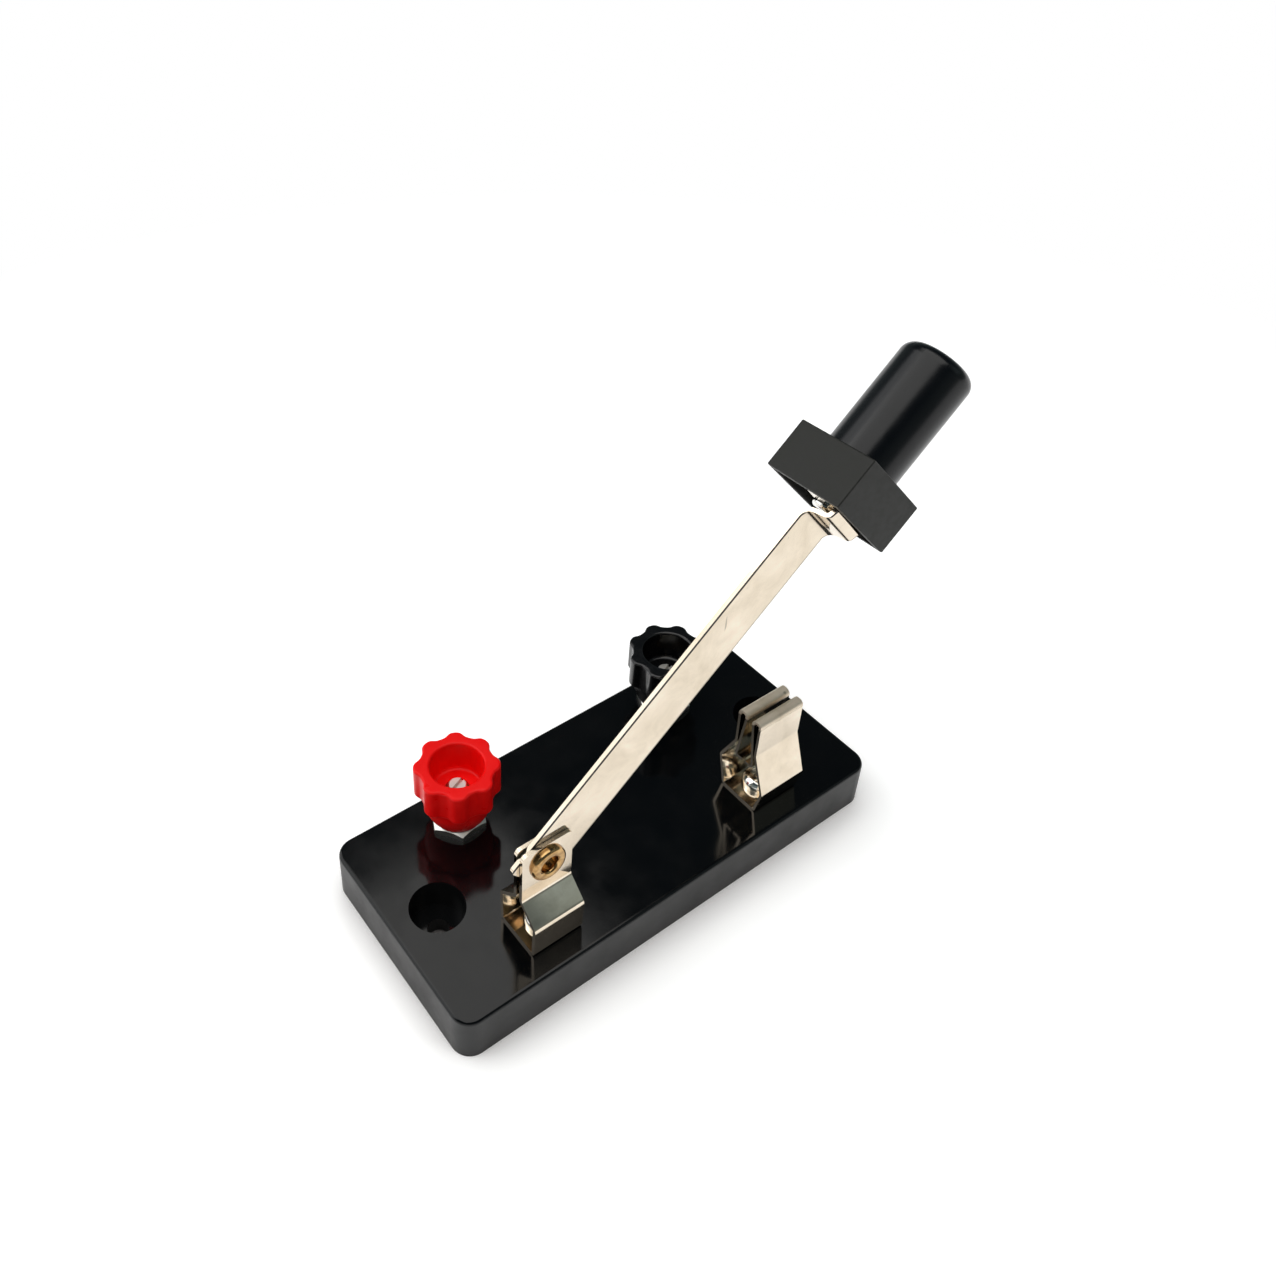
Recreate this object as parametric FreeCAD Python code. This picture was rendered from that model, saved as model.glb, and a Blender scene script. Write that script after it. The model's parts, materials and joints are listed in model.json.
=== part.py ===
import FreeCAD, Part
import math
import os

# Single-pole, single-throw knife blade switch on a moulded base.
# Millimetres. Origin: centre of the base's underside. +X runs from the hinge clip to the
# contact clip, +Y from the clips to the binding posts, +Z up. The blade stands open.

os.makedirs("parts", exist_ok=True)
V = FreeCAD.Vector
X_AXIS = V(1, 0, 0)
Y_AXIS = V(0, 1, 0)
Z_AXIS = V(0, 0, 1)
ORIGIN = V(0, 0, 0)

# ---- base moulding --------------------------------------------------------------------
BASE_LENGTH = 106.5
BASE_WIDTH = 48.0
BASE_HEIGHT = 10.6
BASE_CORNER = 4.0
BASE_TOP_ROUND = 0.8
BASE_WALL = 2.5
BASE_ROOF = 3.0
CAVITY_CORNER = 1.6
MOUNT_INSET = 10.05
MOUNT_HOLE_R = 2.25
MOUNT_HEAD_R = 5.65
MOUNT_FLOOR = 3.6
MOUNT_BOSS_WALL = 2.0

# ---- where things stand on the base ---------------------------------------------------
# Insets are measured from the base's edges, so everything follows the base's overall size.
HINGE_INSET = 24.65
CONTACT_INSET = 24.15
CLIP_ROW_INSET = 9.9
POST_INSET = 25.15
POST_ROW_INSET = 8.6

# ---- M4 screws, studs and their nuts --------------------------------------------------
M4_R = 2.0
M4_PLAY = 0.25
THREAD_PLAY = 0.03
NUT_ACROSS = 7.0
NUT_HEIGHT = 3.0
WASHER_R = 4.4
WASHER_HEIGHT = 0.8
THREAD_END = 0.9
CLIP_HEAD_R = 3.5
CLIP_HEAD_HEIGHT = 2.8
CROSS_WIDTH = 0.8
CROSS_LENGTH = 3.8
CROSS_DEPTH = 1.1

# ---- link strips under the base -------------------------------------------------------
LINK_WIDTH = 8.6
LINK_HEIGHT = 0.8

# ---- blade: one strip, hooked at its end to carry the handle ------------------------------
# Along the blade, sizes are measured from the pivot or from the guard's open face.
PIVOT_HEIGHT = 19.6
OPEN_ANGLE = 40.0
BLADE_THICK = 0.8
BLADE_WIDTH = 11.8
BLADE_TAIL = 5.0
BLADE_BEYOND_CONTACT = 24.2
HOOK_TOP = 2.4
HOOK_SHELF_LIFT = 0.85
HOOK_SHELF = 4.9
HOOK_NEAR = 5.5
HOOK_FAR = 3.4
BLADE_SIDE_PLAY = 0.08
BLADE_END_ROUND = 1.0

# ---- eyelet that the blade turns on -----------------------------------------------------
EYELET_R = 2.5
EYELET_BORE_R = 1.85
EYELET_FLANGE_R = 3.8
EYELET_FLANGE = 1.1
EYELET_RUN = 0.05

# ---- hinge clip -------------------------------------------------------------------------
HINGE_SHEET = 0.8
HINGE_LENGTH = 11.4
HINGE_FOOT = 10.6
HINGE_RIDGE = 11.2
HINGE_RIDGE_HEIGHT = 7.8
HINGE_EAR_START = 11.8
HINGE_EAR_ABOVE = 4.9
HINGE_EAR_ROUND = 1.2

# ---- contact clip -----------------------------------------------------------------------
CONTACT_SHEET = 0.6
CONTACT_LENGTH = 11.9
CONTACT_FOOT = 9.6
CONTACT_NEAR_RIDGE = 6.1
CONTACT_NEAR_RIDGE_HEIGHT = 6.0
CONTACT_FAR_RIDGE = 6.5
CONTACT_FAR_RIDGE_HEIGHT = 7.7
CONTACT_WAIST = 6.0
CONTACT_WAIST_HEIGHT = 15.0
CONTACT_TOP = 6.2
CONTACT_HEIGHT = 24.2
CONTACT_LEAF_SPREAD = 2.3
CONTACT_LEAF_LOW = 11.2
CONTACT_LEAF_TOE = 0.4

# ---- handle -----------------------------------------------------------------------------
GUARD_SIDE = 18.6
GUARD_HEIGHT = 10.5
GUARD_TURN = -8.6
GUARD_EDGE = 0.3
GUARD_WALL = 1.3
GUARD_HOLLOW = 5.0
GUARD_BOSS_R = 4.0
GUARD_BOSS_RECESS = 1.5
GRIP_R = 7.35
GRIP_LENGTH = 24.0
GRIP_END_ROUND = 2.6
HANDLE_SCREW_R = 1.5
HANDLE_SCREW_HEAD_R = 2.5
HANDLE_SCREW_HEAD = 1.4
HANDLE_SLOT_WIDTH = 0.7
HANDLE_SLOT_DEPTH = 0.6
HANDLE_SCREW_LENGTH = 15.0
HANDLE_HOLE_SPARE = 1.0

# ---- binding posts ----------------------------------------------------------------------
COLLAR_ACROSS = 10.7
COLLAR_HEIGHT = 1.8
COLLAR_CHAMFER = 0.75
COLLAR_TURN = 5.0
KNOB_SEAT_GAP = 0.15
KNOB_HEIGHT = 14.3
KNOB_HEAD = 7.5
KNOB_LOBES = 8
KNOB_LOBE_R = 8.85
KNOB_VALLEY_R = 7.75
KNOB_SKIRT_R = 7.2
KNOB_FOOT_R = 5.2
KNOB_BELLY_R = 6.85
KNOB_CUP_R = 5.55
KNOB_CUP_DEPTH = 7.3
KNOB_RIM_ROUND = 0.5
KNOB_CUP_ROUND = 0.9
KNOB_EYE_R = 2.7
INSERT_R = 3.5
INSERT_LIP = 0.8
INSERT_RUN = 0.05
STUD_RUN = 0.06
STUD_STANDOUT = 1.5
STUD_SLOT_WIDTH = 0.7
STUD_SLOT_DEPTH = 1.0
KNOB_TURN = {"red": 14.0, "black": 30.0}

# ---- levels that follow from the sizes above ---------------------------------------------
DECK_Z = BASE_HEIGHT
ROOF_Z = BASE_HEIGHT - BASE_ROOF
WASHER_Z = ROOF_Z - LINK_HEIGHT
NUT_Z = WASHER_Z - WASHER_HEIGHT
THREAD_Z = NUT_Z - NUT_HEIGHT - THREAD_END
MOUNT_SPACING = BASE_LENGTH - 2 * MOUNT_INSET
CLIP_ROW_Y = CLIP_ROW_INSET - BASE_WIDTH / 2
POST_ROW_Y = BASE_WIDTH / 2 - POST_ROW_INSET
HINGE_AT = V(HINGE_INSET - BASE_LENGTH / 2, CLIP_ROW_Y, DECK_Z)
CONTACT_AT = V(BASE_LENGTH / 2 - CONTACT_INSET, CLIP_ROW_Y, DECK_Z)
PIVOT = HINGE_AT + V(0, 0, PIVOT_HEIGHT)
POSTS = {
    "red": V(POST_INSET - BASE_LENGTH / 2, POST_ROW_Y, DECK_Z),
    "black": V(BASE_LENGTH / 2 - POST_INSET, POST_ROW_Y, DECK_Z),
}
GUARD_START = CONTACT_AT.x - HINGE_AT.x + BLADE_BEYOND_CONTACT
BOSS_FACE = GUARD_START + GUARD_BOSS_RECESS
SLOT_HALF = BLADE_THICK / 2 + BLADE_SIDE_PLAY
KNOB_Z = DECK_Z + COLLAR_HEIGHT + KNOB_SEAT_GAP
CUP_FLOOR = KNOB_HEIGHT - KNOB_CUP_DEPTH
INSERT_HEIGHT = CUP_FLOOR - INSERT_LIP
STUD_TOP = KNOB_Z + CUP_FLOOR + STUD_STANDOUT


# ---- small helpers ------------------------------------------------------------------------
def cylinder(radius, height, at=ORIGIN, along=Z_AXIS):
    return Part.makeCylinder(radius, height, at, along)


def box(size_x, size_y, size_z, centre, low_z):
    """Box centred on `centre` in X and Y, standing on low_z."""
    corner = V(centre.x - size_x / 2, centre.y - size_y / 2, low_z)
    return Part.makeBox(size_x, size_y, size_z, corner)


def rounded_block(length, width, corner, low_z, high_z):
    """Rectangle with round corners about the Z axis, from low_z to high_z."""
    block = Part.makeBox(length, width, high_z - low_z, V(-length / 2, -width / 2, low_z))
    uprights = [e for e in block.Edges if abs(e.Vertexes[0].Z - e.Vertexes[-1].Z) > 1e-6]
    return block.makeFillet(corner, uprights)


def hexagon(across, height, at, turn=0.0):
    """Hexagonal prism standing on `at`, `across` its flats, one corner at `turn` degrees."""
    reach = across / math.sqrt(3)
    angles = [math.radians(turn + 60 * i) for i in range(7)]
    corners = [at + V(reach * math.cos(a), reach * math.sin(a), 0) for a in angles]
    return Part.Face(Part.makePolygon(corners)).extrude(V(0, 0, height))


def top_edges(shape, z):
    """Edges that lie wholly at height z."""
    return [e for e in shape.Edges if all(abs(p.z - z) < 1e-4 for p in e.discretize(5))]


def revolved(edges, axis_at=ORIGIN, axis=Z_AXIS):
    return Part.Face(Part.Wire(edges)).revolve(axis_at, axis, 360)


def bent_strip(points, bends, thick, width, to_3d, across):
    """Sheet-metal strip. points: centreline corners (p, q); bends: centreline bend radii of
    the inner corners; to_3d(p, q) places a point; the strip is `width` wide along `across`."""
    headings = []
    for (p0, q0), (p1, q1) in zip(points, points[1:]):
        length = math.hypot(p1 - p0, q1 - q0)
        headings.append(((p1 - p0) / length, (q1 - q0) / length))

    def side(offset):
        """Edges of one face of the sheet, `offset` to the left of the centreline."""
        edges = []
        here = (points[0][0] - headings[0][1] * offset, points[0][1] + headings[0][0] * offset)
        for corner, bend, a, b in zip(points[1:-1], bends, headings, headings[1:]):
            turn = math.atan2(a[0] * b[1] - a[1] * b[0], a[0] * b[0] + a[1] * b[1])
            left = 1 if turn > 0 else -1
            setback = bend * math.tan(abs(turn) / 2)
            start = (corner[0] - a[0] * setback, corner[1] - a[1] * setback)
            centre = (start[0] - a[1] * bend * left, start[1] + a[0] * bend * left)
            radius = bend - offset * left
            angle = math.atan2(a[0] * -left, a[1] * left)
            angles = [angle + turn * part for part in (0.0, 0.5, 1.0)]
            arc = [
                (centre[0] + radius * math.cos(a), centre[1] + radius * math.sin(a)) for a in angles
            ]
            edges.append(Part.makeLine(to_3d(*here), to_3d(*arc[0])))
            edges.append(Part.Arc(*[to_3d(*p) for p in arc]).toShape())
            here = arc[2]
        last = (points[-1][0] - headings[-1][1] * offset, points[-1][1] + headings[-1][0] * offset)
        edges.append(Part.makeLine(to_3d(*here), to_3d(*last)))
        return edges, last

    left_edges, left_end = side(thick / 2)
    right_edges, right_end = side(-thick / 2)
    left_start = left_edges[0].Vertexes[0].Point
    right_start = right_edges[0].Vertexes[0].Point
    cap_end = Part.makeLine(to_3d(*left_end), to_3d(*right_end))
    cap_start = Part.makeLine(right_start, left_start)
    outline = Part.Wire(Part.__sortEdges__(left_edges + [cap_end] + right_edges + [cap_start]))
    face = Part.Face(outline)
    face.translate(across * (-width / 2))
    return face.extrude(across * width)


def clip_path(near, far, bends, base_bend):
    """A clip's centreline: near half from free end to foot, then the far half mirrored."""
    points = near + [(-p, q) for p, q in reversed(far)]
    return points, bends + [base_bend, base_bend] + bends[::-1]


def screw_head(radius, height, at):
    """Round-topped head standing on `at`, with a cross recess."""
    head = cylinder(radius, height, at)
    head = head.makeFillet(height * 0.75, top_edges(head, at.z + height))
    recess_z = at.z + height - CROSS_DEPTH
    recess = box(CROSS_LENGTH, CROSS_WIDTH, CROSS_DEPTH + 1, at, recess_z)
    recess = recess.fuse(box(CROSS_WIDTH, CROSS_LENGTH, CROSS_DEPTH + 1, at, recess_z))
    recess.rotate(at, Z_AXIS, 35)
    return head.cut(recess)


def nut(at_xy):
    at = V(at_xy.x, at_xy.y, NUT_Z - NUT_HEIGHT)
    body = hexagon(NUT_ACROSS, NUT_HEIGHT, at, turn=15)
    corners_off = cylinder(NUT_ACROSS / math.sqrt(3) - 0.15, NUT_HEIGHT, at)
    return body.common(corners_off).cut(cylinder(M4_R + THREAD_PLAY, NUT_HEIGHT, at))


def washer(at_xy):
    at = V(at_xy.x, at_xy.y, NUT_Z)
    return cylinder(WASHER_R, WASHER_HEIGHT, at).cut(cylinder(M4_R + M4_PLAY, WASHER_HEIGHT, at))


# ---- the base -------------------------------------------------------------------------------
def make_base():
    body = rounded_block(BASE_LENGTH, BASE_WIDTH, BASE_CORNER, 0, BASE_HEIGHT)
    body = body.makeFillet(BASE_TOP_ROUND, top_edges(body, BASE_HEIGHT))
    cavity_length = BASE_LENGTH - 2 * BASE_WALL
    cavity_width = BASE_WIDTH - 2 * BASE_WALL
    body = body.cut(rounded_block(cavity_length, cavity_width, CAVITY_CORNER, 0, ROOF_Z))
    for sign in (-1, 1):
        at = V(sign * MOUNT_SPACING / 2, 0, 0)
        body = body.fuse(cylinder(MOUNT_HEAD_R + MOUNT_BOSS_WALL, ROOF_Z, at))
        body = body.cut(cylinder(MOUNT_HOLE_R, BASE_HEIGHT, at))
        body = body.cut(cylinder(MOUNT_HEAD_R, BASE_HEIGHT - MOUNT_FLOOR, at + V(0, 0, MOUNT_FLOOR)))
    for at in (HINGE_AT, CONTACT_AT, POSTS["red"], POSTS["black"]):
        body = body.cut(cylinder(M4_R + M4_PLAY, BASE_ROOF, V(at.x, at.y, ROOF_Z)))
    return body.removeSplitter()


# ---- clips ----------------------------------------------------------------------------------
def place_across(at):
    """Clip outlines are drawn across the blade: p runs along Y from the clip's centre, q up."""
    return lambda p, q: V(at.x, at.y + p, at.z + q)


def make_hinge_clip():
    half_sheet = HINGE_SHEET / 2
    ear = SLOT_HALF + half_sheet
    ear_top = PIVOT_HEIGHT + HINGE_EAR_ABOVE
    half = [
        (-ear, ear_top),
        (-ear, HINGE_EAR_START),
        (-(HINGE_RIDGE / 2 - half_sheet), HINGE_RIDGE_HEIGHT),
        (-(HINGE_FOOT / 2 - half_sheet), half_sheet),
    ]
    points, bends = clip_path(half, half, [1.4, 0.9], 0.6)
    clip = bent_strip(points, bends, HINGE_SHEET, HINGE_LENGTH, place_across(HINGE_AT), X_AXIS)
    keep = Part.makeBox(HINGE_LENGTH, 2 * HINGE_RIDGE, ear_top,
                        HINGE_AT + V(-HINGE_LENGTH / 2, -HINGE_RIDGE, 0))
    ear_corners = [
        e for e in top_edges(keep, DECK_Z + ear_top) if abs(e.tangentAt(e.FirstParameter).y) > 0.9
    ]
    clip = clip.common(keep.makeFillet(HINGE_EAR_ROUND, ear_corners))
    pin_hole = cylinder(EYELET_R + THREAD_PLAY, 2 * HINGE_RIDGE, PIVOT - Y_AXIS * HINGE_RIDGE, Y_AXIS)
    screw_hole = cylinder(M4_R + M4_PLAY, 2 * HINGE_SHEET, HINGE_AT)
    return clip.cut(pin_hole).cut(screw_hole)


def make_contact_clip():
    half_sheet = CONTACT_SHEET / 2
    leaf = SLOT_HALF + half_sheet
    top = CONTACT_HEIGHT - half_sheet

    def jaw(ridge, ridge_height):
        """From the toe of the sprung leaf, over the rolled top, down the wall to the foot."""
        return [
            (-CONTACT_LEAF_TOE, CONTACT_LEAF_LOW + 0.2),
            (-CONTACT_LEAF_SPREAD, CONTACT_LEAF_LOW),
            (-leaf, top),
            (-(CONTACT_TOP / 2 - half_sheet), top - 0.2),
            (-(CONTACT_WAIST / 2 - half_sheet), CONTACT_WAIST_HEIGHT),
            (-(ridge - half_sheet), ridge_height),
            (-(CONTACT_FOOT / 2 - half_sheet), half_sheet),
        ]

    points, bends = clip_path(
        jaw(CONTACT_NEAR_RIDGE, CONTACT_NEAR_RIDGE_HEIGHT),
        jaw(CONTACT_FAR_RIDGE, CONTACT_FAR_RIDGE_HEIGHT),
        [0.6, 0.9, 0.7, 2.0, 1.2], 0.5,
    )
    clip = bent_strip(points, bends, CONTACT_SHEET, CONTACT_LENGTH, place_across(CONTACT_AT), X_AXIS)
    return clip.cut(cylinder(M4_R + M4_PLAY, 2 * CONTACT_SHEET, CONTACT_AT))


def make_clip_screw(at, sheet):
    seat = at + V(0, 0, sheet)
    shank = cylinder(M4_R, seat.z - THREAD_Z, V(at.x, at.y, THREAD_Z))
    return screw_head(CLIP_HEAD_R, CLIP_HEAD_HEIGHT, seat).fuse(shank).removeSplitter()


# ---- blade, eyelet and handle ----------------------------------------------------------------
def stand_open(shape):
    """From the closed drawing, along +X from the pivot at the origin, to the open blade."""
    shape.rotate(ORIGIN, Y_AXIS, -OPEN_ANGLE)
    shape.translate(PIVOT)
    return shape


def make_blade():
    plate = BOSS_FACE - BLADE_THICK / 2
    shelf = GUARD_START - HOOK_TOP
    points = [
        (0, -BLADE_TAIL),
        (0, shelf),
        (-HOOK_SHELF, shelf + HOOK_SHELF_LIFT),
        (-HOOK_NEAR, plate),
        (HOOK_FAR, plate),
    ]
    bends = [2.5, 0.9, 0.75]
    blade = bent_strip(points, bends, BLADE_THICK, BLADE_WIDTH, lambda p, q: V(q, p, 0), Z_AXIS)
    outline = Part.makeBox(
        BLADE_TAIL + BOSS_FACE, 40, BLADE_WIDTH, V(-BLADE_TAIL, -20, -BLADE_WIDTH / 2)
    )
    tail_corners = [
        e for e in outline.Edges
        if all(abs(p.x + BLADE_TAIL) < 1e-6 for p in e.discretize(3))
        and abs(e.tangentAt(e.FirstParameter).y) > 0.9
    ]
    blade = blade.common(outline.makeFillet(BLADE_END_ROUND, tail_corners))
    pin_hole = cylinder(EYELET_R + EYELET_RUN, 4 * BLADE_THICK, V(0, -2 * BLADE_THICK, 0), Y_AXIS)
    screw_hole = cylinder(
        HANDLE_SCREW_R + THREAD_PLAY, 2 * BLADE_THICK, V(plate - BLADE_THICK, 0, 0), X_AXIS
    )
    return stand_open(blade.cut(pin_hole).cut(screw_hole))


def make_eyelet():
    """Hollow rivet through both ears, rolled over outside each of them."""
    grip = SLOT_HALF + HINGE_SHEET
    reach = grip + EYELET_FLANGE
    shank = cylinder(EYELET_R, 2 * reach, V(0, -reach, 0), Y_AXIS)
    for sign in (-1, 1):
        low = grip if sign > 0 else -reach
        flange = cylinder(EYELET_FLANGE_R, EYELET_FLANGE, V(0, low, 0), Y_AXIS)
        rim = [e for e in flange.Edges if all(abs(p.y - sign * reach) < 1e-6 for p in e.discretize(5))]
        shank = shank.fuse(flange.makeFillet(EYELET_FLANGE * 0.75, rim))
    eyelet = shank.removeSplitter().cut(cylinder(EYELET_BORE_R, 2 * reach, V(0, -reach, 0), Y_AXIS))
    mouths = [
        e for e in eyelet.Edges
        if all(abs(abs(p.y) - reach) < 1e-6 for p in e.discretize(5))
        and math.hypot(e.Vertexes[0].X, e.Vertexes[0].Z) < EYELET_BORE_R + 0.01
    ]
    eyelet = eyelet.makeFillet(EYELET_FLANGE * 0.6, mouths)
    eyelet.translate(PIVOT)
    return eyelet


def guard_block(start, length, side):
    return Part.makeBox(length, side, side, V(start, -side / 2, -side / 2))


def make_handle():
    """Grip and hollow square guard in one moulding, drawn along +X from the guard's open face."""
    guard = guard_block(GUARD_START, GUARD_HEIGHT, GUARD_SIDE)
    guard = guard.makeFillet(GUARD_EDGE, guard.Edges)
    guard = guard.cut(guard_block(GUARD_START, GUARD_HOLLOW, GUARD_SIDE - 2 * GUARD_WALL))
    guard.rotate(ORIGIN, X_AXIS, GUARD_TURN)
    boss_length = GUARD_HOLLOW - GUARD_BOSS_RECESS
    guard = guard.fuse(cylinder(GUARD_BOSS_R, boss_length, V(BOSS_FACE, 0, 0), X_AXIS))
    grip_start = GUARD_START + GUARD_HEIGHT
    grip_stop = grip_start + GRIP_LENGTH
    grip = cylinder(GRIP_R, GRIP_LENGTH, V(grip_start, 0, 0), X_AXIS)
    grip_end = [e for e in grip.Edges if all(abs(p.x - grip_stop) < 1e-6 for p in e.discretize(5))]
    handle = guard.fuse(grip.makeFillet(GRIP_END_ROUND, grip_end)).removeSplitter()
    depth = HANDLE_SCREW_LENGTH - BLADE_THICK + HANDLE_HOLE_SPARE
    screw_hole = cylinder(HANDLE_SCREW_R + THREAD_PLAY, depth, V(BOSS_FACE, 0, 0), X_AXIS)
    return stand_open(handle.cut(screw_hole))


def make_handle_screw():
    seat = BOSS_FACE - BLADE_THICK
    crown = seat - HANDLE_SCREW_HEAD
    head = cylinder(HANDLE_SCREW_HEAD_R, HANDLE_SCREW_HEAD, V(crown, 0, 0), X_AXIS)
    rim = [e for e in head.Edges if all(abs(p.x - crown) < 1e-6 for p in e.discretize(5))]
    head = head.makeFillet(HANDLE_SCREW_HEAD * 0.6, rim)
    slot = Part.makeBox(
        HANDLE_SLOT_DEPTH, 2 * HANDLE_SCREW_HEAD_R, HANDLE_SLOT_WIDTH,
        V(crown, -HANDLE_SCREW_HEAD_R, -HANDLE_SLOT_WIDTH / 2),
    )
    shank = cylinder(HANDLE_SCREW_R, HANDLE_SCREW_LENGTH, V(seat, 0, 0), X_AXIS)
    return stand_open(head.cut(slot).fuse(shank).removeSplitter())


# ---- binding posts ----------------------------------------------------------------------------
def make_stud(at):
    stud = cylinder(M4_R, STUD_TOP - THREAD_Z, V(at.x, at.y, THREAD_Z))
    stud = stud.makeChamfer(0.3, top_edges(stud, STUD_TOP))
    slot = box(3 * M4_R, STUD_SLOT_WIDTH, STUD_SLOT_DEPTH, at, STUD_TOP - STUD_SLOT_DEPTH)
    slot.rotate(V(at.x, at.y, 0), Z_AXIS, 20)
    return stud.cut(slot)


def make_collar(at):
    """Hexagonal nut with its upper corners turned off."""
    reach = COLLAR_ACROSS / math.sqrt(3)
    outline = [
        V(0, 0, 0), V(reach, 0, 0), V(reach, 0, COLLAR_HEIGHT - COLLAR_CHAMFER),
        V(COLLAR_ACROSS / 2 - 0.1, 0, COLLAR_HEIGHT), V(0, 0, COLLAR_HEIGHT), V(0, 0, 0),
    ]
    turned = revolved(Part.makePolygon(outline).Edges)
    turned.translate(at)
    collar = hexagon(COLLAR_ACROSS, COLLAR_HEIGHT, at, COLLAR_TURN).common(turned)
    return collar.cut(cylinder(M4_R + THREAD_PLAY, COLLAR_HEIGHT, at))


def lobed_outline(z):
    """Closed curve with round lobes, drawn by one formula for its radius."""
    middle = (KNOB_LOBE_R + KNOB_VALLEY_R) / 2
    swing = (KNOB_LOBE_R - KNOB_VALLEY_R) / 2
    fullness = 1.3
    points = []
    steps = KNOB_LOBES * 12
    for i in range(steps):
        angle = 2 * math.pi * i / steps
        wave = math.tanh(fullness * math.cos(KNOB_LOBES * angle)) / math.tanh(fullness)
        radius = middle + swing * wave
        points.append(V(radius * math.cos(angle), radius * math.sin(angle), z))
    curve = Part.BSplineCurve()
    curve.interpolate(points, PeriodicFlag=True)
    return Part.Face(Part.Wire(curve.toShape()))


def make_knob(colour):
    head_z = KNOB_HEIGHT - KNOB_HEAD
    head = lobed_outline(head_z).extrude(V(0, 0, KNOB_HEAD))
    head = head.makeFillet(KNOB_RIM_ROUND, top_edges(head, KNOB_HEIGHT) + top_edges(head, head_z))
    overlap = head_z + 2 * KNOB_RIM_ROUND
    skirt = revolved([
        Part.makeLine(V(0, 0, 0), V(KNOB_FOOT_R, 0, 0)),
        Part.Arc(
            V(KNOB_FOOT_R, 0, 0), V(KNOB_BELLY_R, 0, head_z * 0.45), V(KNOB_SKIRT_R, 0, head_z)
        ).toShape(),
        Part.makeLine(V(KNOB_SKIRT_R, 0, head_z), V(KNOB_SKIRT_R, 0, overlap)),
        Part.makeLine(V(KNOB_SKIRT_R, 0, overlap), V(0, 0, overlap)),
        Part.makeLine(V(0, 0, overlap), V(0, 0, 0)),
    ])
    cup = cylinder(KNOB_CUP_R, KNOB_CUP_DEPTH, V(0, 0, CUP_FLOOR))
    cup = cup.makeFillet(KNOB_CUP_ROUND, top_edges(cup, CUP_FLOOR))
    knob = head.fuse(skirt).removeSplitter().cut(cup)
    mouth = [e for e in top_edges(knob, KNOB_HEIGHT) if e.BoundBox.XMax < KNOB_CUP_R + 0.01]
    knob = knob.makeFillet(KNOB_RIM_ROUND, mouth)
    knob = knob.cut(cylinder(INSERT_R + INSERT_RUN, INSERT_HEIGHT + INSERT_RUN))
    knob = knob.cut(cylinder(KNOB_EYE_R, CUP_FLOOR + 1))
    knob.rotate(ORIGIN, Z_AXIS, KNOB_TURN[colour])
    knob.translate(V(POSTS[colour].x, POSTS[colour].y, KNOB_Z))
    return knob


def make_insert(at):
    seat = V(at.x, at.y, KNOB_Z)
    return cylinder(INSERT_R, INSERT_HEIGHT, seat).cut(cylinder(M4_R + STUD_RUN, INSERT_HEIGHT, seat))


# ---- link strips under the roof ------------------------------------------------------------------
def make_link(clip_at, post_at):
    """Flat strip with round ends that joins a clip's screw to its post's stud."""
    low = WASHER_Z
    run = V(post_at.x - clip_at.x, post_at.y - clip_at.y, 0)
    strip = Part.makeBox(run.Length, LINK_WIDTH, LINK_HEIGHT, V(0, -LINK_WIDTH / 2, 0))
    strip.rotate(ORIGIN, Z_AXIS, math.degrees(math.atan2(run.y, run.x)))
    strip.translate(V(clip_at.x, clip_at.y, low))
    for at in (clip_at, post_at):
        strip = strip.fuse(cylinder(LINK_WIDTH / 2, LINK_HEIGHT, V(at.x, at.y, low)))
    for at in (clip_at, post_at):
        strip = strip.cut(cylinder(M4_R + M4_PLAY, LINK_HEIGHT, V(at.x, at.y, low)))
    return strip.removeSplitter()


# ---- write every sub-part ---------------------------------------------------------------------
nodes = {
    "base": make_base(),
    "hinge_clip": make_hinge_clip(),
    "contact_clip": make_contact_clip(),
    "hinge_clip_screw": make_clip_screw(HINGE_AT, HINGE_SHEET),
    "contact_clip_screw": make_clip_screw(CONTACT_AT, CONTACT_SHEET),
    "clip_screw_washers": Part.makeCompound([washer(HINGE_AT), washer(CONTACT_AT)]),
    "clip_screw_nuts": Part.makeCompound([nut(HINGE_AT), nut(CONTACT_AT)]),
    "hinge_link_strip": make_link(HINGE_AT, POSTS["red"]),
    "contact_link_strip": make_link(CONTACT_AT, POSTS["black"]),
    "post_washers": Part.makeCompound([washer(at) for at in POSTS.values()]),
    "post_nuts": Part.makeCompound([nut(at) for at in POSTS.values()]),
    "blade": make_blade(),
    "pivot_eyelet": make_eyelet(),
    "handle": make_handle(),
    "handle_screw": make_handle_screw(),
}
for colour, post in POSTS.items():
    nodes[colour + "_post_stud"] = make_stud(post)
    nodes[colour + "_post_collar"] = make_collar(post)
    nodes[colour + "_knob"] = make_knob(colour)
    nodes[colour + "_knob_insert"] = make_insert(post)

for name, shape in nodes.items():
    shape.exportStep("parts/" + name + ".step")
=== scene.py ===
import json
import math

import bpy
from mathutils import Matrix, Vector


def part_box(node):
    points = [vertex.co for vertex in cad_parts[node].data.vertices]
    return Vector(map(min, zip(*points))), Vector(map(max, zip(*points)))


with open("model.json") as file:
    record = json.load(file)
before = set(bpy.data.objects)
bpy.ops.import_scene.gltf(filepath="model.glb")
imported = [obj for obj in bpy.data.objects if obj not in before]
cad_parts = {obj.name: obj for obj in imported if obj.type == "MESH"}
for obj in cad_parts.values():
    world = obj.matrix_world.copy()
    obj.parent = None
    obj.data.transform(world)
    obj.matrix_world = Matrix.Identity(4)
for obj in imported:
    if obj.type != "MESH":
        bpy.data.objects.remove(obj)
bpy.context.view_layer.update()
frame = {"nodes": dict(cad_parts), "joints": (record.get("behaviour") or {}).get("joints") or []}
nodes = frame["nodes"]
scene = bpy.context.scene

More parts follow.
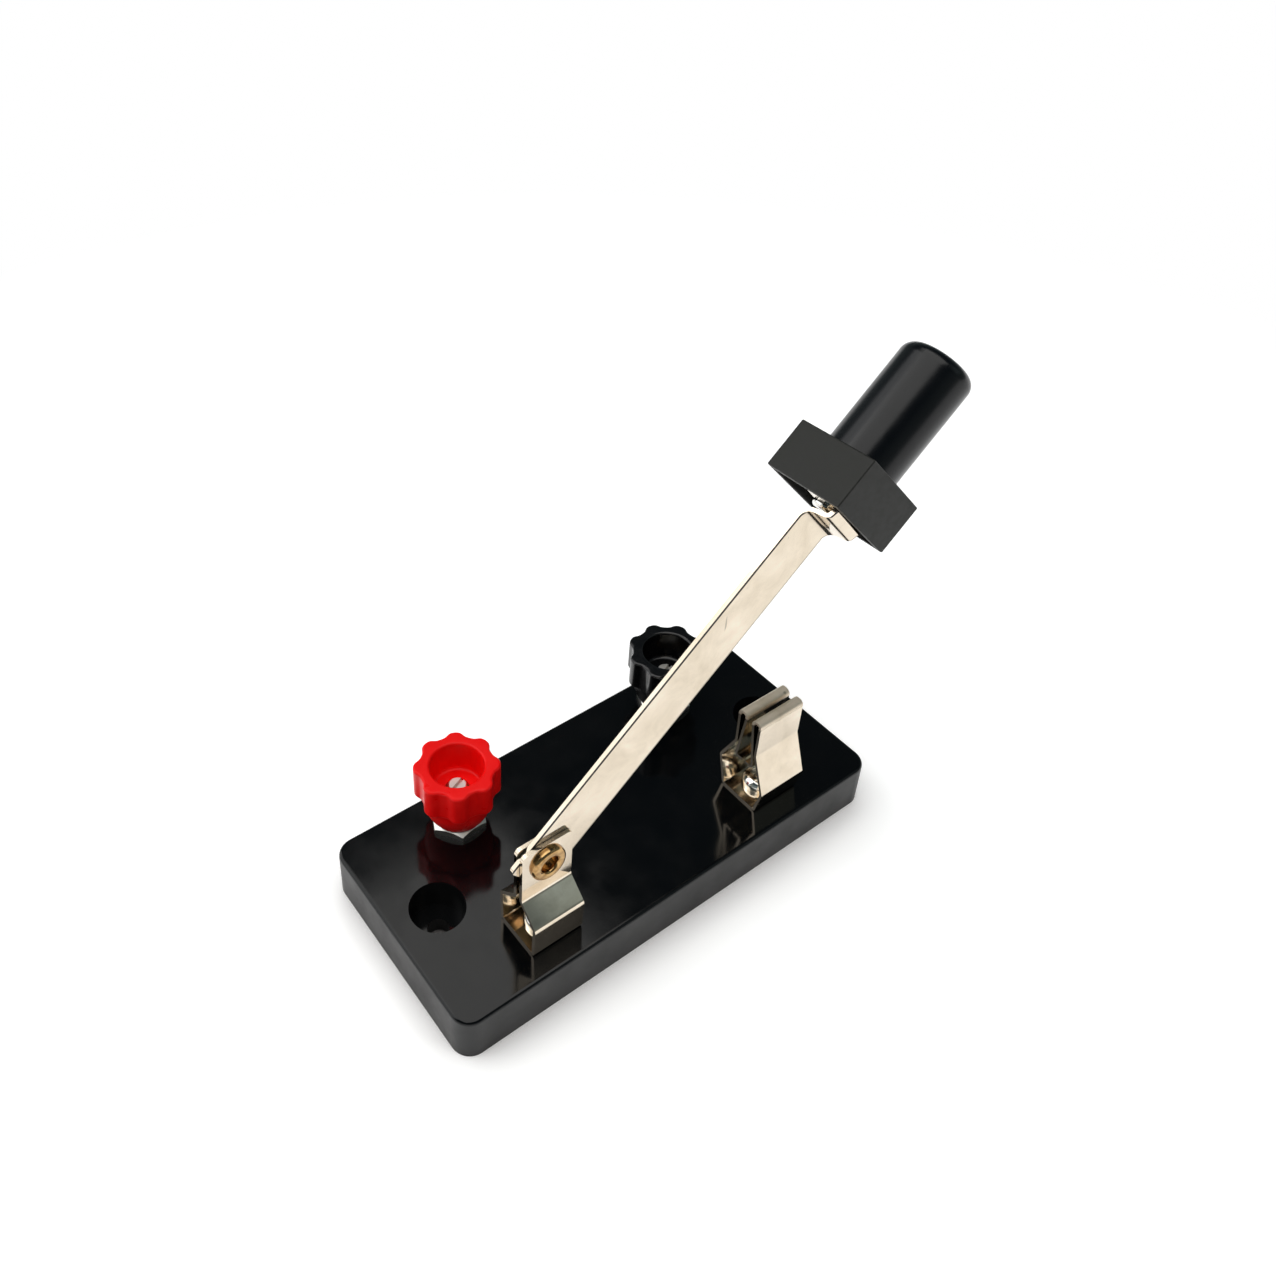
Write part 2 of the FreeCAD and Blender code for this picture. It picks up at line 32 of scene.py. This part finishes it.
# Everything is in metres, in the part's own frame: +X from hinge clip to contact clip, +Z up.
MM = 0.001


# ---- shader helpers -----------------------------------------------------------------------
class Shader:
    """A material with a Principled shader and short calls for its procedural detail."""

    def __init__(self, name, colour, metallic=0.0, roughness=0.4, **sockets):
        self.material = bpy.data.materials.new(name)
        self.material.use_nodes = True
        self.tree = self.material.node_tree
        self.bsdf = self.tree.nodes["Principled BSDF"]
        self.put(self.bsdf, "Base Color", (*colour, 1.0))
        self.put(self.bsdf, "Metallic", metallic)
        self.put(self.bsdf, "Roughness", roughness)
        for socket, value in sockets.items():
            self.put(self.bsdf, socket.replace("_", " "), value)
        self.space = self.node("ShaderNodeTexCoord").outputs["Object"]
        self.height = None

    def node(self, kind, **settings):
        made = self.tree.nodes.new(kind)
        for key, value in settings.items():
            setattr(made, key, value)
        return made

    def put(self, node, socket, value):
        """Sets a socket: links it if value is another socket, otherwise stores the value."""
        target = node.inputs[socket]
        if isinstance(value, bpy.types.NodeSocket):
            self.tree.links.new(value, target)
        else:
            target.default_value = value

    def stretched(self, scale):
        mapping = self.node("ShaderNodeMapping")
        self.put(mapping, "Vector", self.space)
        self.put(mapping, "Scale", scale)
        return mapping.outputs["Vector"]

    def noise(self, scale, detail=3.0, roughness=0.5, stretch=None, distortion=0.0):
        texture = self.node("ShaderNodeTexNoise")
        self.put(texture, "Vector", self.stretched(stretch) if stretch else self.space)
        self.put(texture, "Scale", scale)
        self.put(texture, "Detail", detail)
        self.put(texture, "Roughness", roughness)
        self.put(texture, "Distortion", distortion)
        return texture.outputs["Fac"]

    def ramp(self, value, low, high, out_low=0.0, out_high=1.0):
        """Maps low..high of value to out_low..out_high, clamped."""
        fit = self.node("ShaderNodeMapRange")
        self.put(fit, "Value", value)
        ends = {"From Min": low, "From Max": high, "To Min": out_low, "To Max": out_high}
        for socket, number in ends.items():
            self.put(fit, socket, number)
        return fit.outputs["Result"]

    def mix(self, factor, colour_a, colour_b):
        """Colour between two colours."""
        mixed = self.node("ShaderNodeMix", data_type="RGBA")
        self.put(mixed, 0, factor)
        for index, colour in ((6, colour_a), (7, colour_b)):
            self.put(mixed, index, colour if isinstance(colour, bpy.types.NodeSocket) else (*colour, 1.0))
        return mixed.outputs[2]

    def maths(self, operation, a, b=0.0):
        step = self.node("ShaderNodeMath", operation=operation)
        self.put(step, 0, a)
        self.put(step, 1, b)
        return step.outputs[0]

    def component(self, vector, axis):
        """One of X, Y and Z of a vector socket."""
        split = self.node("ShaderNodeSeparateXYZ")
        self.put(split, 0, vector)
        return split.outputs[axis]

    def facing(self, axis):
        """How far the surface faces along an axis of the object."""
        return self.component(self.node("ShaderNodeTexCoord").outputs["Normal"], axis)

    def along(self, direction):
        """Position measured along a direction."""
        dot = self.node("ShaderNodeVectorMath", operation="DOT_PRODUCT")
        self.put(dot, 0, self.space)
        self.put(dot, 1, direction)
        return dot.outputs["Value"]

    def blend(self, factor, value_a, value_b):
        """Number between two numbers."""
        mixed = self.node("ShaderNodeMix", data_type="FLOAT")
        for index, value in ((0, factor), (2, value_a), (3, value_b)):
            self.put(mixed, index, value)
        return mixed.outputs[0]

    def bump(self, height, distance_mm, strength=1.0):
        """Adds a layer of relief; layers stack."""
        layer = self.node("ShaderNodeBump")
        self.put(layer, "Height", height)
        self.put(layer, "Distance", distance_mm * MM)
        self.put(layer, "Strength", strength)
        if self.height:
            self.put(layer, "Normal", self.height)
        self.height = layer.outputs["Normal"]
        self.put(self.bsdf, "Normal", self.height)

    def creases(self, reach_mm):
        """0 in tight corners, 1 in the open."""
        occlusion = self.node("ShaderNodeAmbientOcclusion", samples=8)
        self.put(occlusion, "Distance", reach_mm * MM)
        return occlusion.outputs["AO"]

    def paint(self, *names):
        """Gives this material to CAD nodes or pieces."""
        for name in names:
            made = nodes.get(name) or bpy.data.objects[name]
            made.data.materials.clear()
            made.data.materials.append(self.material)


# ---- materials ----------------------------------------------------------------------------
def black_moulding():
    """Phenolic base: near-black, polished on top, duller sides, faint flow marks, fine pits."""
    s = Shader("black_moulding", (0.006, 0.006, 0.007), IOR=1.5, Specular_IOR_Level=0.32)
    flow = s.noise(45, detail=4, distortion=0.6)
    marks = s.mix(s.ramp(flow, 0.35, 0.7), (0.0010, 0.0014, 0.0020), (0.0030, 0.0032, 0.0034))
    s.put(s.bsdf, "Base Color", marks)
    haze = s.noise(160, detail=3)
    sides = s.ramp(haze, 0.3, 0.75, 0.34, 0.46)
    deck = s.ramp(haze, 0.3, 0.75, 0.07, 0.16)
    s.put(s.bsdf, "Roughness", s.blend(s.ramp(s.facing("Z"), 0.3, 0.8), sides, deck))
    s.bump(s.noise(110, detail=2), 0.02, 0.35)
    s.bump(s.noise(2600, detail=2), 0.003, 0.3)
    return s


def handle_moulding():
    """Satin guard and polished grip, told apart by the distance along the handle's axis."""
    s = Shader("black_handle", (0.02, 0.02, 0.02), IOR=1.5, Specular_IOR_Level=0.38)
    grip = s.ramp(s.along(HANDLE_AXIS), GRIP_START - GRIP_BLUR, GRIP_START + GRIP_BLUR)
    grain = s.noise(900, detail=3)
    guard_colour = s.mix(s.ramp(grain, 0.3, 0.7), (0.006, 0.006, 0.004), (0.011, 0.011, 0.008))
    s.put(s.bsdf, "Base Color", s.mix(grip, guard_colour, (0.0010, 0.0016, 0.0028)))
    satin = s.ramp(grain, 0.3, 0.7, 0.42, 0.55)
    gloss = s.ramp(s.noise(140), 0.3, 0.7, 0.21, 0.27)
    s.put(s.bsdf, "Roughness", s.blend(grip, satin, gloss))
    s.bump(grain, 0.008, 0.5)
    s.bump(s.noise(180, detail=2), 0.03, 0.3)
    return s


def nickel_sheet(name, painted_edge_shade=False, rubbed_above=None):
    """Bright rolled sheet: warm nickel, drawn lines along the strip, dull patches and specks, painted
    shade in its creases, and a painted shade line along the blade's edges where asked.
    """
    s = Shader(name, (0.88, 0.82, 0.73), metallic=1.0)
    patches = s.noise(120, detail=5, roughness=0.6, distortion=0.4)
    warm = s.mix(s.ramp(patches, 0.3, 0.72), (0.85, 0.745, 0.61), (0.66, 0.56, 0.43))
    specks = s.ramp(s.noise(1500, detail=2), 0.72, 0.80, 0.0, 0.45)
    dirt = s.mix(specks, warm, (0.50, 0.42, 0.33))
    # painted shade: the colour goes dark grey-brown in corners and creases, wherever ambient occlusion
    # finds them
    tone = s.mix(s.ramp(s.creases(1.6), 0.0, 0.7, 1.0, 0.0), dirt, (0.16, 0.145, 0.12))
    # painted shade: a near-black line on the blade's flat faces along its sheared edges
    if painted_edge_shade:
        tone = s.mix(painted_shade_edge_mask(s), tone, (0.02, 0.018, 0.015))
    nicks = s.noise(420, detail=1, stretch=(1.0, 1.0, 0.16), distortion=0.3)
    scratches = s.ramp(nicks, 0.765, 0.80, 0.0, 0.55)
    s.put(s.bsdf, "Base Color", s.mix(scratches, tone, (0.20, 0.17, 0.13)))
    drawn = s.noise(900, detail=3, stretch=(0.06, 1.0, 0.06))
    dull = s.maths("ADD", s.ramp(patches, 0.3, 0.75, 0.05, 0.14), s.ramp(drawn, 0.4, 0.8, 0.0, 0.05))
    if rubbed_above is not None:
        rubbed = s.ramp(s.component(s.space, "Z"), rubbed_above, rubbed_above + RUBBED_FADE, 0.0, 0.42)
        dull = s.maths("ADD", dull, rubbed)
    s.put(s.bsdf, "Roughness", dull)
    s.bump(s.noise(70, detail=2), 0.06, 0.35)
    s.bump(drawn, 0.003, 0.3)
    return s


def painted_shade_edge_mask(s):
    """Mask for painted shade: 1 on the blade's faces just inside its upper sheared edge, fainter inside
    the lower one.
    """
    height = s.maths("SUBTRACT", s.along(BLADE_UP), BLADE_MIDDLE)
    upper = s.ramp(height, BLADE_HALF - 0.72 * MM, BLADE_HALF - 0.58 * MM)
    lower = s.ramp(height, 0.24 * MM - BLADE_HALF, 0.36 * MM - BLADE_HALF, 0.45, 0.0)
    flat = s.ramp(s.maths("ABSOLUTE", s.facing("Y")), 0.6, 0.9)
    return s.maths("MULTIPLY", s.maths("MAXIMUM", upper, lower), flat)


def nickel_screw(name, painted_corner_shade, dull=0.0):
    """Turned and plated steel: smeared shine, with the given colour painted into its corners as painted
    shade.
    """
    s = Shader(name, (0.80, 0.78, 0.74), metallic=1.0)
    smear = s.noise(400, detail=4)
    s.put(s.bsdf, "Roughness", s.ramp(smear, 0.3, 0.75, 0.06 + dull, 0.18 + dull))
    bright = s.mix(s.ramp(smear, 0.35, 0.75), (0.88, 0.86, 0.82), (0.72, 0.69, 0.63))
    # painted shade: the given colour goes into the corners that ambient occlusion finds
    corners = s.ramp(s.creases(0.8), 0.0, 0.6, 1.0, 0.0)
    s.put(s.bsdf, "Base Color", s.mix(corners, bright, painted_corner_shade))
    s.bump(s.noise(1800, detail=2), 0.006, 0.4)
    return s


def zinc_steel():
    """Dull zinc-plated washers and nuts with a fine spangle."""
    s = Shader("zinc_steel", (0.60, 0.61, 0.61), metallic=1.0, roughness=0.35)
    spangle = s.noise(700, detail=4, distortion=0.5)
    tone = s.mix(s.ramp(spangle, 0.35, 0.7), (0.64, 0.65, 0.66), (0.50, 0.50, 0.47))
    s.put(s.bsdf, "Base Color", tone)
    s.put(s.bsdf, "Roughness", s.ramp(spangle, 0.3, 0.75, 0.26, 0.46))
    s.bump(spangle, 0.006, 0.4)
    return s


def brass(name, bright, aged, roughness):
    """Rolled brass, tarnished in patches and dark in its corners."""
    s = Shader(name, bright, metallic=1.0, roughness=roughness)
    tarnish = s.noise(650, detail=5, roughness=0.6, distortion=0.5)
    tone = s.mix(s.ramp(tarnish, 0.38, 0.72), bright, aged)
    corners = s.ramp(s.creases(1.4), 0.1, 0.85, 1.0, 0.0)
    s.put(s.bsdf, "Base Color", s.mix(corners, tone, (0.16, 0.07, 0.02)))
    s.put(s.bsdf, "Roughness", s.ramp(tarnish, 0.3, 0.75, roughness * 0.7, roughness * 1.6))
    s.bump(s.noise(900, detail=3), 0.02, 0.5)
    return s


def knob_plastic(name, base, pale, roughness, gloss):
    """Injection-moulded knob: even colour, paler in random clouds, slight shrink marks."""
    s = Shader(name, base, roughness=roughness, IOR=1.49, Specular_IOR_Level=gloss)
    cloud = s.noise(300, detail=3)
    s.put(s.bsdf, "Base Color", s.mix(s.ramp(cloud, 0.35, 0.75, 0.0, 0.5), base, pale))
    s.put(s.bsdf, "Roughness", s.ramp(s.noise(500), 0.3, 0.7, roughness * 0.8, roughness * 1.25))
    s.bump(s.noise(240, detail=2), 0.06, 0.4)
    s.bump(s.noise(2200, detail=2), 0.005, 0.4)
    return s


# ---- where the blade and handle lie: axes from the frame, sizes as in the CAD part ------------
hinge = next(j for j in frame["joints"] if j["name"] == "blade_hinge")
PIVOT = Vector(hinge["pos_m"])
OPEN_ANGLE = math.radians(-hinge["range_deg"][0])
HANDLE_AXIS = Vector((math.cos(OPEN_ANGLE), 0.0, math.sin(OPEN_ANGLE)))


def handle_start():
    """Where the handle begins, measured along its own axis."""
    return min(v.co.dot(HANDLE_AXIS) for v in nodes["handle"].data.vertices)


BLADE_UP = Vector((-math.sin(OPEN_ANGLE), 0.0, math.cos(OPEN_ANGLE)))
BLADE_MIDDLE = PIVOT.dot(BLADE_UP)
BLADE_HALF = 5.9 * MM
GUARD_HEIGHT = 10.5 * MM
GRIP_BLUR = 0.1 * MM
RUBBED_TOP = 1.6 * MM
RUBBED_FADE = 0.3 * MM
GRIP_START = handle_start() + GUARD_HEIGHT


# ---- camera --------------------------------------------------------------------------------
# Turn from +X and tilt below the horizon are in degrees, lens and sensor in millimetres.
CAMERA_AT = Vector((-118.74, -128.23, 223.64)) * MM
CAMERA_TURN = 54.829
CAMERA_DOWN = 34.722
CAMERA_LENS = 35.392
CAMERA_SENSOR = 36.0
CAMERA_SHIFT = (0.1082, -0.1552)
CAMERA_RANGE = (0.01, 20.0)


def make_camera():
    """The photographer's view of the part."""
    camera = bpy.data.objects.new("camera", bpy.data.cameras.new("camera"))
    scene.collection.objects.link(camera)
    turn, down = math.radians(CAMERA_TURN), math.radians(CAMERA_DOWN)
    ahead = Vector((math.cos(turn) * math.cos(down), math.sin(turn) * math.cos(down), -math.sin(down)))
    camera.location = CAMERA_AT
    camera.rotation_mode = "QUATERNION"
    camera.rotation_quaternion = ahead.to_track_quat("-Z", "Y")
    camera.data.lens = CAMERA_LENS
    camera.data.sensor_width = CAMERA_SENSOR
    camera.data.shift_x, camera.data.shift_y = CAMERA_SHIFT
    camera.data.clip_start, camera.data.clip_end = CAMERA_RANGE
    scene.camera = camera


# ---- floor, world and lamps ------------------------------------------------------------------
# The floor is paper within FLOOR_REAL metres of the origin, with a painted contact shadow next to the
# part, and plain white from FLOOR_WHITE on.
FLOOR_HALF_SIDE = 6.0
FLOOR_REAL = 0.16
FLOOR_WHITE = 0.34
FLOOR_LIFT = 0.55
PAPER = (0.84, 0.84, 0.84)
SHADOW_TINT = (1.0, 0.93, 0.90)
WHITE = (1.0, 1.0, 1.0)
CONTACT_SHADE_MM = 15.0
LOW_WALL_END = 0.35
HIGH_WALL_START = 0.55
LOW_WALL_COLOUR = (0.155, 0.185, 0.185)
HIGH_WALL_COLOUR = (0.045, 0.062, 0.072)


def make_floor():
    """Pale paper: under the lamps' light and shadow near the part, with a painted contact shadow in its
    colour and glow, plain white farther out.
    """
    mesh = bpy.data.meshes.new("floor")
    corners = [
        (x * FLOOR_HALF_SIDE, y * FLOOR_HALF_SIDE, 0) for x, y in ((-1, -1), (1, -1), (1, 1), (-1, 1))
    ]
    mesh.from_pydata(corners, [], [(0, 1, 2, 3)])
    floor = bpy.data.objects.new("floor", mesh)
    scene.collection.objects.link(floor)
    s = Shader("floor_paper", PAPER, roughness=1.0, Specular_IOR_Level=0.0)
    path = s.node("ShaderNodeLightPath")
    watched = s.maths("ADD", path.outputs["Is Camera Ray"], path.outputs["Is Glossy Ray"])
    seen = s.maths("MINIMUM", watched, 1.0)
    lift = s.node("ShaderNodeEmission")
    open_sky = s.creases(CONTACT_SHADE_MM)
    # painted shadow: the paper's colour goes to black where the part closes in over the floor
    s.put(s.bsdf, "Base Color", s.mix(s.ramp(open_sky, 0.2, 0.6), (0.0, 0.0, 0.0), PAPER))
    # painted shadow: near the part the glow turns to SHADOW_TINT and fades, following the same occlusion
    s.put(lift, "Color", s.mix(s.ramp(open_sky, 0.3, 1.0), SHADOW_TINT, WHITE))
    painted_shadow_glow = s.maths("MULTIPLY", seen, s.ramp(open_sky, 0.1, 1.0))
    s.put(lift, "Strength", s.maths("MULTIPLY", painted_shadow_glow, FLOOR_LIFT))
    near = s.node("ShaderNodeAddShader")
    s.tree.links.new(s.bsdf.outputs["BSDF"], near.inputs[0])
    s.tree.links.new(lift.outputs["Emission"], near.inputs[1])
    white = s.node("ShaderNodeEmission")
    s.put(white, "Color", (*WHITE, 1.0))
    s.put(white, "Strength", 1.0)
    distance = s.node("ShaderNodeVectorMath", operation="LENGTH")
    s.put(distance, 0, s.space)
    far = s.maths("MULTIPLY", seen, s.ramp(distance.outputs["Value"], FLOOR_REAL, FLOOR_WHITE))
    choose = s.node("ShaderNodeMixShader")
    s.put(choose, 0, far)
    s.tree.links.new(near.outputs["Shader"], choose.inputs[1])
    s.tree.links.new(white.outputs["Emission"], choose.inputs[2])
    s.tree.links.new(choose.outputs["Shader"], s.tree.nodes["Material Output"].inputs["Surface"])
    floor.data.materials.append(s.material)


def make_world():
    """A dim, cool room for reflections, paler low down; the camera sees white beyond the floor."""
    world = bpy.data.worlds.new("room")
    world.use_nodes = True
    scene.world = world
    tree = world.node_tree
    room = tree.nodes["Background"]
    room.inputs["Strength"].default_value = 1.0
    split = tree.nodes.new("ShaderNodeSeparateXYZ")
    tree.links.new(tree.nodes.new("ShaderNodeTexCoord").outputs["Generated"], split.inputs[0])
    fade = tree.nodes.new("ShaderNodeValToRGB")
    stops = ((LOW_WALL_END, LOW_WALL_COLOUR), (HIGH_WALL_START, HIGH_WALL_COLOUR))
    for element, (position, colour) in zip(fade.color_ramp.elements, stops):
        element.position, element.color = position, (*colour, 1.0)
    tree.links.new(split.outputs["Z"], fade.inputs[0])
    tree.links.new(fade.outputs["Color"], room.inputs["Color"])
    backdrop = tree.nodes.new("ShaderNodeBackground")
    backdrop.inputs["Color"].default_value = (*WHITE, 1.0)
    backdrop.inputs["Strength"].default_value = 1.0
    path = tree.nodes.new("ShaderNodeLightPath")
    choose = tree.nodes.new("ShaderNodeMixShader")
    tree.links.new(path.outputs["Is Camera Ray"], choose.inputs[0])
    tree.links.new(room.outputs["Background"], choose.inputs[1])
    tree.links.new(backdrop.outputs["Background"], choose.inputs[2])
    tree.links.new(choose.outputs["Shader"], tree.nodes["World Output"].inputs["Surface"])


def make_lamp(name, at, aim, size, radiance, colour=WHITE):
    """Softbox of the given size (m) and surface brightness."""
    data = bpy.data.lights.new(name, "AREA")
    data.shape = "RECTANGLE"
    data.size, data.size_y = size
    data.energy = radiance * size[0] * size[1] * math.pi
    data.color = colour
    lamp = bpy.data.objects.new(name, data)
    scene.collection.objects.link(lamp)
    lamp.location = at
    lamp.rotation_mode = "QUATERNION"
    lamp.rotation_quaternion = (Vector(aim) - Vector(at)).to_track_quat("-Z", "Y")


def make_lamps():
    """A large softbox overhead, one low on the left like a window, a faint cool one on the right."""
    middle = (0.0, 0.0, 0.03)
    above, below = (-0.16, 0.04, 1.20), (-0.16, 0.04, 0.0)
    make_lamp("overhead_softbox", above, below, (1.35, 1.50), 1.75, (1.0, 0.985, 0.955))
    make_lamp("right_softbox", (0.69, -0.82, 0.74), middle, (0.7, 0.5), 0.26, (0.84, 1.0, 0.98))
    make_lamp("window_softbox", (-0.88, 0.82, 0.72), middle, (1.6, 1.35), 1.45)


# ---- build -----------------------------------------------------------------------------------
make_camera()
make_floor()
make_world()
make_lamps()

black_moulding().paint("base")
handle_moulding().paint("handle")
nickel_sheet("nickel_plate").paint("hinge_clip", "hinge_link_strip", "contact_link_strip")
contact_top = max(corner[2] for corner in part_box("contact_clip"))
nickel_sheet("nickel_contact", rubbed_above=contact_top - RUBBED_TOP).paint("contact_clip")
nickel_sheet("nickel_blade", painted_edge_shade=True).paint("blade")
nickel_screw("nickel_screws", (0.22, 0.20, 0.17)).paint(
    "hinge_clip_screw", "contact_clip_screw", "handle_screw",
)
nickel_screw("nickel_posts", (0.80, 0.78, 0.74), 0.22).paint(
    "red_post_stud", "black_post_stud", "red_post_collar", "black_post_collar",
)
zinc_steel().paint("clip_screw_washers", "clip_screw_nuts", "post_washers", "post_nuts")
brass("brass_eyelet", (0.58, 0.37, 0.16), (0.30, 0.16, 0.06), 0.15).paint("pivot_eyelet")
brass("brass_insert", (0.78, 0.62, 0.34), (0.60, 0.44, 0.20), 0.28).paint(
    "red_knob_insert", "black_knob_insert",
)
RED, PALE_RED = (0.96, 0.002, 0.0022), (1.0, 0.014, 0.012)
BLACK, PALE_BLACK = (0.002, 0.002, 0.0024), (0.005, 0.005, 0.0055)
knob_plastic("red_knob", RED, PALE_RED, 0.34, 0.2).paint("red_knob")
knob_plastic("black_knob", BLACK, PALE_BLACK, 0.2, 0.5).paint("black_knob")

scene.view_settings.view_transform = "Standard"
